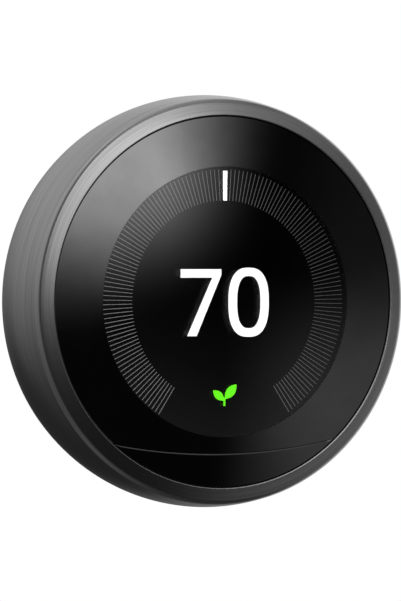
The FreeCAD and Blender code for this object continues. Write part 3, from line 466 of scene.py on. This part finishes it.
def mask_ring():
    """The printed film behind the lens, from the display's edge out to the rim, cut off at the window."""
    gap = -WINDOW_GAP / 2 - MASK_SHORT
    film_top = LENS_TOP - LENS_THICK - MASK_SINK
    columns = []
    for a in lens_angles(gap, 360):
        outer = min(MASK_R, arc_reach(a, gap))
        points = [(r, lens_height(r, film_top)) for r in (DISPLAY_R, (DISPLAY_R + outer) / 2, outer)]
        points += [(r, lens_height(r, film_top) - MASK_THICK) for r in (outer, DISPLAY_R)]
        columns.append(around(a, points))
    verts, faces = skin(columns)
    return add_piece("mask_ink_ring", verts, faces, "head_front", "mask_film", sharp=30)


# The ring's outline as (radius, h) points. Three points stand for an arc.
RING_LIP = [(37.55, 29.4), (37.6, 29.58), (37.75, 29.655)]
RING_SLOPE_MIDDLE, RING_SLOPE_END = (39.0, 29.2), (40.1, 28.8)
RING_EDGE = [(40.8, 28.3), (41.15, 27.3)]
RING_BARREL = [(41.98, 18.4), (40.45, 9.3)]
RING_BACK = [(40.2, 8.85), (39.7, 8.7)]
RING_BORE, RING_BORE_TOP, RING_LIP_BACK = 39.0, 26.4, 28.0


def outer_ring():
    """The metal shell: a rounded lip and a slope round the lens, a rounded edge and a barrel-shaped side."""
    profile = arc_points(*RING_LIP, 6)
    profile += [RING_LIP[2], RING_SLOPE_MIDDLE]
    profile += arc_points(RING_SLOPE_END, RING_EDGE[0], RING_EDGE[1], 10)
    profile += arc_points(RING_EDGE[1], RING_BARREL[0], RING_BARREL[1], 28)
    profile += arc_points(RING_BARREL[1], RING_BACK[0], RING_BACK[1], 6)
    profile += [RING_BACK[1], (RING_BORE, RING_BACK[1][1]), (RING_BORE, RING_BORE_TOP)]
    profile.append((RING_LIP[0][0], RING_LIP_BACK))
    verts, faces = lathe(profile, 480)
    return add_piece("outer_ring_shell", verts, faces, "turning_ring", "outer_ring", sharp=25)


# ---- display graphics ----------------------------------------------------------------------------------
TICK_IN, TICK_OUT, TICK_WIDE = 20.4, 26.7, 0.105
TICK_FIRST, TICK_LAST, TICK_STEP = 3, 147, 2  # degrees either side of the top
MARKER_IN, MARKER_OUT, MARKER_WIDE, MARKER_TURN = 20.4, 26.4, (0.82, 0.96), 0.2
SEVEN_TOP, SEVEN_BAR, SEVEN_FOOT = 6.58, 4.88, -6.87  # heights of the numeral seven
ZERO_SQUARENESS = 2.55  # 2 would make the zero an ellipse


def prism(outline, holes=()):
    """Points and faces of a flat shape on the panel, as a thin raised prism. The outline is (x, z) points."""
    work = bmesh.new()
    edges = []
    for loop in [outline, *holes]:
        points = [work.verts.new((x, PANEL_TOP, z)) for x, z in loop]
        for i in range(len(points)):
            edges.append(work.edges.new((points[i - 1], points[i])))
    bmesh.ops.triangle_fill(work, use_beauty=True, edges=edges)
    raised = bmesh.ops.extrude_face_region(work, geom=work.faces[:])
    for item in raised["geom"]:
        if isinstance(item, bmesh.types.BMVert):
            item.co.y += GRAPHIC_THICK
    work.verts.index_update()
    verts = [tuple(v.co) for v in work.verts]
    faces = [tuple(v.index for v in f.verts) for f in work.faces]
    work.free()
    return verts, faces


def merged(shapes):
    """The points and faces of several shapes as one list each."""
    verts, faces = [], []
    for more_verts, more_faces in shapes:
        start = len(verts)
        verts += more_verts
        faces += [tuple(i + start for i in f) for f in more_faces]
    return verts, faces


def bar(angle, r_in, r_out, wide_in, wide_out):
    """A straight bar that points away from the axis, at an angle from the top."""
    a = math.radians(angle)
    out, side = (math.sin(a), math.cos(a)), (math.cos(a), -math.sin(a))
    near, far = wide_in / 2, wide_out / 2
    corners = [(r_in, -near), (r_out, -far), (r_out, far), (r_in, near)]
    return prism([(r * out[0] + s * side[0], r * out[1] + s * side[1]) for r, s in corners])


def ticks():
    """The scale: fine bars in a ring that is open at the bottom."""
    angles = range(TICK_FIRST, TICK_LAST + 1, TICK_STEP)
    shapes = [bar(side * a, TICK_IN, TICK_OUT, TICK_WIDE, TICK_WIDE) for side in (-1, 1) for a in angles]
    verts, faces = merged(shapes)
    return add_piece("display_ticks", verts, faces, "head_front", sharp=30)


def marker():
    """The bright bar that marks the set point at the top of the scale."""
    verts, faces = bar(MARKER_TURN, MARKER_IN, MARKER_OUT, *MARKER_WIDE)
    return add_piece("display_marker", verts, faces, "head_front", sharp=30)


def capsule_outline(x, z, half_wide, half_high, steps):
    """A tall rounded outline: a superellipse, as the numeral zero has."""
    points = []
    power = 2.0 / ZERO_SQUARENESS
    for i in range(steps):
        a = 2 * math.pi * i / steps
        c, s = math.cos(a), math.sin(a)
        px = math.copysign(abs(c) ** power, c) * half_wide
        pz = math.copysign(abs(s) ** power, s) * half_high
        points.append((x + px, z + pz))
    return points


def numerals():
    """The reading, a seven and a zero."""
    seven = [(-9.75, SEVEN_TOP), (-0.74, SEVEN_TOP), (-0.74, 5.4), (-6.22, SEVEN_FOOT)]
    seven += [(-8.28, SEVEN_FOOT), (-2.72, SEVEN_BAR), (-9.75, SEVEN_BAR)]
    outer = capsule_outline(5.41, -0.12, 4.53, 6.99, 72)
    inner = capsule_outline(5.44, -0.08, 2.63, 5.29, 72)
    verts, faces = merged([prism(seven), prism(outer, [inner])])
    return add_piece("display_numerals", verts, faces, "head_front", sharp=30)


def petal(x, z, length, wide, turn, steps=20):
    """A pointed leaf from its foot at (x, z), leaning by turn degrees from the top."""
    a = math.radians(turn)
    along, across = (math.sin(a), math.cos(a)), (math.cos(a), -math.sin(a))
    points = []
    for side in (1, -1):
        for i in range(steps):
            t = i / steps if side > 0 else 1 - i / steps
            swell = side * wide / 2 * math.sin(math.pi * t) ** 0.85
            reach = length * t
            px = x + along[0] * reach + across[0] * swell
            pz = z + along[1] * reach + across[1] * swell
            points.append((px, pz))
    return points


def sprout():
    """A plain seedling: two leaves of different size on a short stem."""
    stem = [(-0.22, -21.0), (0.22, -21.0), (0.24, -19.4), (-0.20, -19.4)]
    large, small = petal(0.1, -19.6, 3.9, 1.9, 42), petal(-0.05, -19.9, 3.2, 1.6, -50)
    verts, faces = merged([prism(large), prism(small), prism(stem)])
    return add_piece("display_sprout", verts, faces, "head_front", sharp=30)


# ---- looks of the other pieces -------------------------------------------------------------------------
def slot_looks():
    """A material for every slot of the record."""
    return {
        "base_plastic": plastic("moulded_grey", (0.26, 0.27, 0.28)),
        "cover_plastic": plastic("moulded_pale", (0.66, 0.66, 0.64), rough=0.4),
        "circuit_board": circuit_board("circuit_board"),
        "chip_plastic": plastic("chip_epoxy", (0.02, 0.02, 0.022), rough=0.5, grain=5.0),
        "terminal_plastic": plastic("terminal_black", (0.05, 0.05, 0.055), rough=0.42),
        "contact_brass": metal("stamped_brass", (0.72, 0.50, 0.20), 0.28, (1, 8, 8)),
        "spring_steel": metal("spring_steel", (0.56, 0.56, 0.57), 0.27, (1, 6, 6)),
        "socket_plastic": plastic("socket_cream", (0.62, 0.58, 0.48), rough=0.38),
        "vial_clear": dark_gloss("vial_acrylic", (0.55, 0.68, 0.35), 0.05),
        "vial_fluid": dark_gloss("vial_fluid", (0.45, 0.75, 0.06), 0.04),
        "screw_steel": metal("zinc_plate", (0.52, 0.53, 0.54), 0.3, (4, 4, 4), 600.0),
        "rear_plastic": plastic("moulded_charcoal", (0.045, 0.046, 0.05), rough=0.48),
        "stud_steel": metal("turned_steel", (0.6, 0.6, 0.61), 0.22, (1, 30, 1), 500.0),
        "shield_metal": metal("tinplate", (0.66, 0.66, 0.63), 0.24, (1, 4, 4)),
        "battery_foil": metal("cell_foil", (0.62, 0.63, 0.65), 0.36, (1, 1, 1), 260.0, 0.00004),
        "lead_insulation": plastic("lead_red", (0.42, 0.02, 0.015), rough=0.4, grain=6.0),
        "port_steel": metal("port_plating", (0.68, 0.68, 0.68), 0.18),
        "switch_plastic": plastic("switch_black", (0.03, 0.03, 0.03), rough=0.38),
        "flex_film": plastic("polyimide", (0.55, 0.22, 0.03), rough=0.25, grain=4.0, coat=0.4),
        "chassis_plastic": plastic("chassis_black", (0.018, 0.018, 0.019), rough=0.5),
        "glide_plastic": plastic("acetal_white", (0.72, 0.72, 0.70), rough=0.32),
        "frame_plastic": plastic("frame_black", (0.03, 0.03, 0.03), rough=0.5),
        "backlight_acrylic": plastic("backlight_milky", (0.78, 0.8, 0.82), rough=0.2, coat=0.5),
        "display_glass": panel_glass("panel_glass"),
        "lens_glass": lens_glass("lens_glass"),
        "window_plastic": dark_gloss("window_acrylic", (0.215, 0.215, 0.215), 0.04, metallic=1.0),
        "mask_ink": dark_gloss("mask_ink", (0.229, 0.229, 0.229), 0.04, metallic=1.0),
        "adhesive_foam": plastic("foam_tape", (0.02, 0.02, 0.02), rough=0.8, grain=3.0, depth=0.00008),
        "fresnel_plastic": plastic("fresnel_sheet", (0.6, 0.6, 0.58), rough=0.3),
        "sensor_can": metal("nickel_can", (0.62, 0.58, 0.5), 0.2),
        "ring_metal": brushed_ring("brushed_ring"),
        "encoder_plastic": plastic("encoder_grey", (0.35, 0.35, 0.35), rough=0.4),
        "plunger_plastic": plastic("plunger_red", (0.42, 0.03, 0.02), rough=0.35),
        "tab_plastic": plastic("tab_white", (0.68, 0.68, 0.66), rough=0.42),
    }


def dress(looks, pieces):
    """Give every CAD node its slot's material, and each new piece its own."""
    for entry in frame["record"]["subparts"]:
        node = frame["nodes"][entry["node"]]
        node.data.materials.clear()
        node.data.materials.append(looks[entry["material_slot"]])
    for piece, look in pieces:
        piece.data.materials.clear()
        piece.data.materials.append(look)


# ---- stage, light and camera ---------------------------------------------------------------------------
def stage():
    """A plain pale floor well below the object, which hangs where its wall would be."""
    size, level = 1.6, -0.45
    mesh = bpy.data.meshes.new("studio_floor")
    corners = [(-size, -size, level), (size, -size, level), (size, size, level), (-size, size, level)]
    mesh.from_pydata(corners, [], [(0, 1, 2, 3)])
    floor = bpy.data.objects.new("studio_floor", mesh)
    bpy.context.scene.collection.objects.link(floor)
    look = Look("floor_paint")
    look.colour(look.ramp(look.noise(2.0, 3.0), [(0.3, (0.86, 0.86, 0.86)), (0.7, (0.9, 0.9, 0.9))]))
    look.shader.inputs["Roughness"].default_value = 0.7
    mesh.materials.append(look.material)
    floor.visible_glossy = False


class Sky(Look):
    """Node helpers on the world, so that the studio's soft boxes can be painted by direction."""

    def __init__(self, world):
        world.use_nodes = True
        self.tree = world.node_tree
        self.nodes = self.tree.nodes
        self.nodes.clear()
        place = self.add("ShaderNodeSeparateXYZ")
        self.link(self.add("ShaderNodeTexCoord").outputs["Generated"], place.inputs[0])
        self.x, self.y, self.z = place.outputs
        degree = math.pi / 180
        turn = self.math("ARCTAN2", self.x, self.math("MULTIPLY", self.y, -1.0))
        self.azimuth = self.math("DIVIDE", turn, degree)
        self.elevation = self.math("DIVIDE", self.math("ARCSINE", self.z), degree)

    def rise(self, value, start, end):
        """From 0 to 1 as the value goes from start to end, which may be the smaller one."""
        node = self.add("ShaderNodeMapRange", interpolation_type="SMOOTHSTEP")
        self.feed(node, {"Value": value, "From Min": start, "From Max": end})
        return node.outputs["Result"]

    def card(self, left, right, low, high, soft, level, lift=0.0):
        """A soft-edged rectangle of light between two azimuths and two elevations, in degrees.

        soft says how far each edge fades to either side: left, right, low, high. lift raises the lower edge.
        """
        above = self.math("SUBTRACT", self.elevation, lift)
        edges = [
            self.rise(self.azimuth, left - soft[0], left + soft[0]),
            self.rise(self.azimuth, right + soft[1], right - soft[1]),
            self.rise(above, low - soft[2], low + soft[2]),
            self.rise(self.elevation, high + soft[3], high - soft[3]),
        ]
        shape = edges[0]
        for edge in edges[1:]:
            shape = self.math("MULTIPLY", shape, edge)
        return self.math("MULTIPLY", shape, level)


def key_light(sky):
    """The large soft box that the upper left of the face mirrors. Its lower edge climbs to the right."""
    past = sky.math("MAXIMUM", sky.math("SUBTRACT", sky.azimuth, 17.0), 0.0)
    slope = sky.math("MULTIPLY", past, 0.22)
    box = sky.card(-21.5, 26.3, 0.5, 51.5, (9.0, 5.8, 5.8, 8.0), 1.0, slope)
    return sky.math("MULTIPLY", sky.math("POWER", box, 3.0), 1.42)


def wall_light(sky):
    """What the ring's side mirrors: the half behind the object, dark below and bright above."""
    behind = sky.rise(sky.y, 0.0, 0.55)
    turn = sky.rise(sky.x, -0.55, -0.1)
    gradient = sky.rise(sky.elevation, sky.between(turn, -32.0, -12.0), sky.between(turn, 34.0, 27.0))
    return sky.math("MULTIPLY", behind, sky.between(gradient, 0.02, 0.62))


def studio_light(sky):
    """All the soft boxes together, over a faint even light."""
    boxes = [
        sky.card(-24.0, 70.0, 26.0, 75.0, (14.0, 26.0, 8.0, 12.0), 0.2),  # above the face
        sky.card(40.0, 100.0, -26.0, 40.0, (12.0, 20.0, 12.0, 16.0), 0.11),  # right, for the lip
        sky.card(29.0, 72.0, -44.0, -2.6, (4.0, 10.0, 9.0, 4.2), 0.16),  # low right, for the face
        sky.card(82.0, 150.0, -40.0, 40.0, (7.0, 20.0, 12.0, 12.0), 0.75),  # far right, for the edge
        sky.math("MULTIPLY", sky.rise(sky.elevation, -42.0, -64.0), 0.05),  # straight below
        wall_light(sky),
        sky.card(-115.0, -45.0, 0.0, 85.0, (20.0, 20.0, 45.0, 8.0), 0.66),  # left, for the ring's side
        sky.math("MULTIPLY", sky.rise(sky.elevation, 48.0, 74.0), 0.45),  # straight above
        sky.card(-140.0, -30.0, -80.0, -20.0, (30.0, 20.0, 9.0, 20.0), 0.1),  # low left
    ]
    total = sky.math("ADD", key_light(sky), 0.006)
    for box in boxes:
        total = sky.math("ADD", total, box)
    return total


def light():
    """A studio painted on the world by direction. The camera itself sees plain white behind the object."""
    world = bpy.data.worlds.new("studio")
    bpy.context.scene.world = world
    sky = Sky(world)
    studio = sky.add("ShaderNodeBackground")
    sky.link(studio_light(sky), studio.inputs["Color"])
    plain = sky.add("ShaderNodeBackground")
    plain.inputs["Color"].default_value = (1.0, 1.0, 1.0, 1.0)
    pick = sky.add("ShaderNodeMixShader")
    rays = sky.add("ShaderNodeLightPath")
    sky.link(rays.outputs["Is Camera Ray"], pick.inputs[0])
    sky.link(studio.outputs[0], pick.inputs[1])
    sky.link(plain.outputs[0], pick.inputs[2])
    out = sky.add("ShaderNodeOutputWorld")
    sky.link(pick.outputs[0], out.inputs[0])


def camera():
    """A long lens to the left of the face and slightly above it, about 0.7 m away."""
    face = Vector((0.0, -29.36 * MM, 0.0))
    azimuth, elevation, roll = math.radians(-25.305), math.radians(0.86), math.radians(-0.11)
    distance, right_by, up_by = 700.7 * MM, 5.09 * MM, -0.27 * MM
    level = math.cos(elevation)
    back = Vector((math.sin(azimuth) * level, -math.cos(azimuth) * level, math.sin(elevation)))
    side = Vector((math.cos(azimuth), math.sin(azimuth), 0.0))
    rise = back.cross(side)
    right = side * math.cos(roll) - rise * math.sin(roll)
    up = side * math.sin(roll) + rise * math.cos(roll)
    data = bpy.data.cameras.new("camera")
    data.lens = 208.15
    data.sensor_width = 36.0
    data.clip_start = 0.05
    data.clip_end = 50.0
    eye = bpy.data.objects.new("camera", data)
    place = face + back * distance - right * right_by - up * up_by
    eye.matrix_world = Matrix.Translation(place) @ Matrix((right, up, back)).transposed().to_4x4()
    bpy.context.scene.collection.objects.link(eye)
    bpy.context.scene.camera = eye


def main():
    """Build every piece, give all of them their looks, and set up the studio round them."""
    camera()
    looks = slot_looks()
    white = lit("display_white", (1.0, 1.0, 1.0), 9.0)
    grey = lit("display_grey", (0.6, 0.6, 0.6), 2.3, far_level=0.33)
    green = lit("display_green", (0.16, 1.0, 0.02), 7.0)
    pieces = [
        (outer_ring(), looks["ring_metal"]),
        (face_lens(), looks["lens_glass"]),
        (sensor_window(), looks["window_plastic"]),
        (mask_ring(), looks["mask_ink"]),
        (lens_rim(), looks["mask_ink"]),
        (display_wall(), dark_gloss("edge_paint", (0.01, 0.01, 0.01), 0.4)),
        (ticks(), grey),
        (marker(), white),
        (numerals(), white),
        (sprout(), green),
    ]
    dress(looks, pieces)
    stage()
    light()
    bpy.context.scene.view_settings.view_transform = "Standard"


main()
